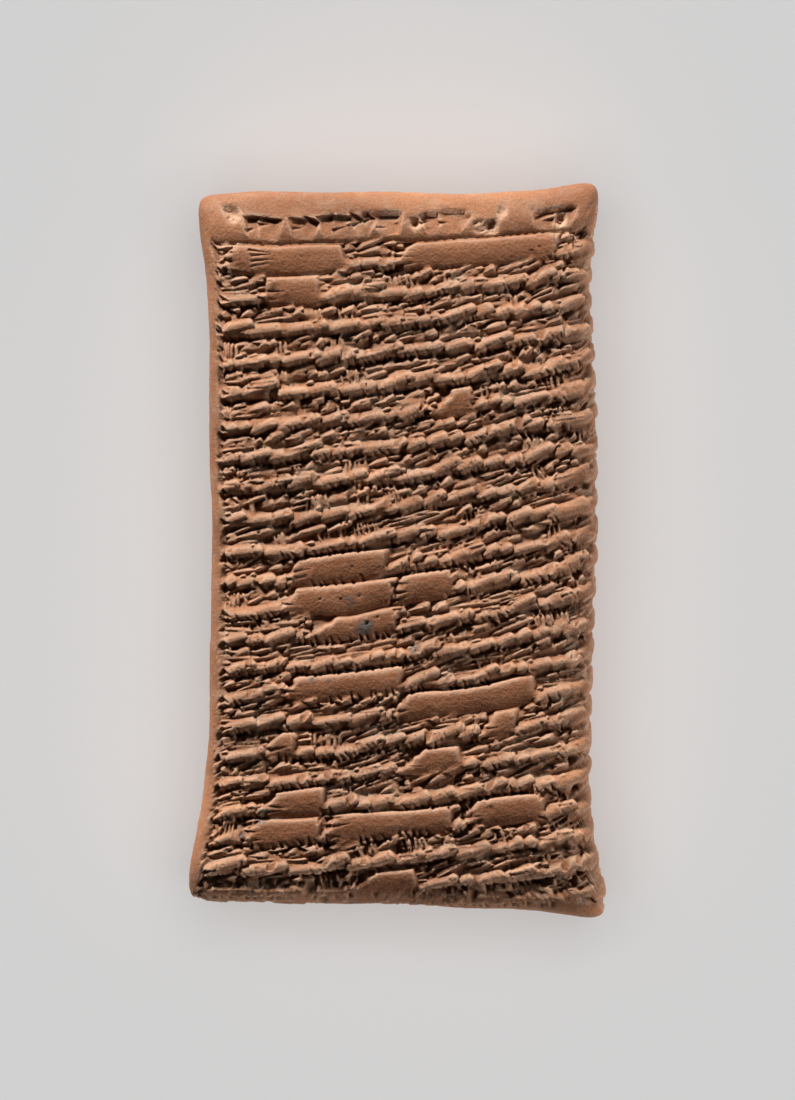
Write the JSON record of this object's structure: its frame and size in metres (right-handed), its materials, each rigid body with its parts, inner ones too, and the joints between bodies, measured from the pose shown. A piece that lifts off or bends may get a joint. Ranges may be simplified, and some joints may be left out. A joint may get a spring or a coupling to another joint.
{
  "type": "cuneiform tablet",
  "caption": "Hand-sized reddish clay tablet with pinched corners, lying on its fuller back, its face closely pressed with rows of wedge-shaped strokes that run round one edge.",
  "frame": {"origin": "middle of the tablet's plan, on the surface that its reverse lies on", "axes": "+Z out of the written obverse, +Y towards the top edge where the rows begin, +X along the rows to the right edge"},
  "size_m": [0.0602, 0.106, 0.0252],
  "materials": {
    "clay": "matte"
  },
  "bodies": {
    "root": {"tablet": "clay"}
  },
  "joints": []
}
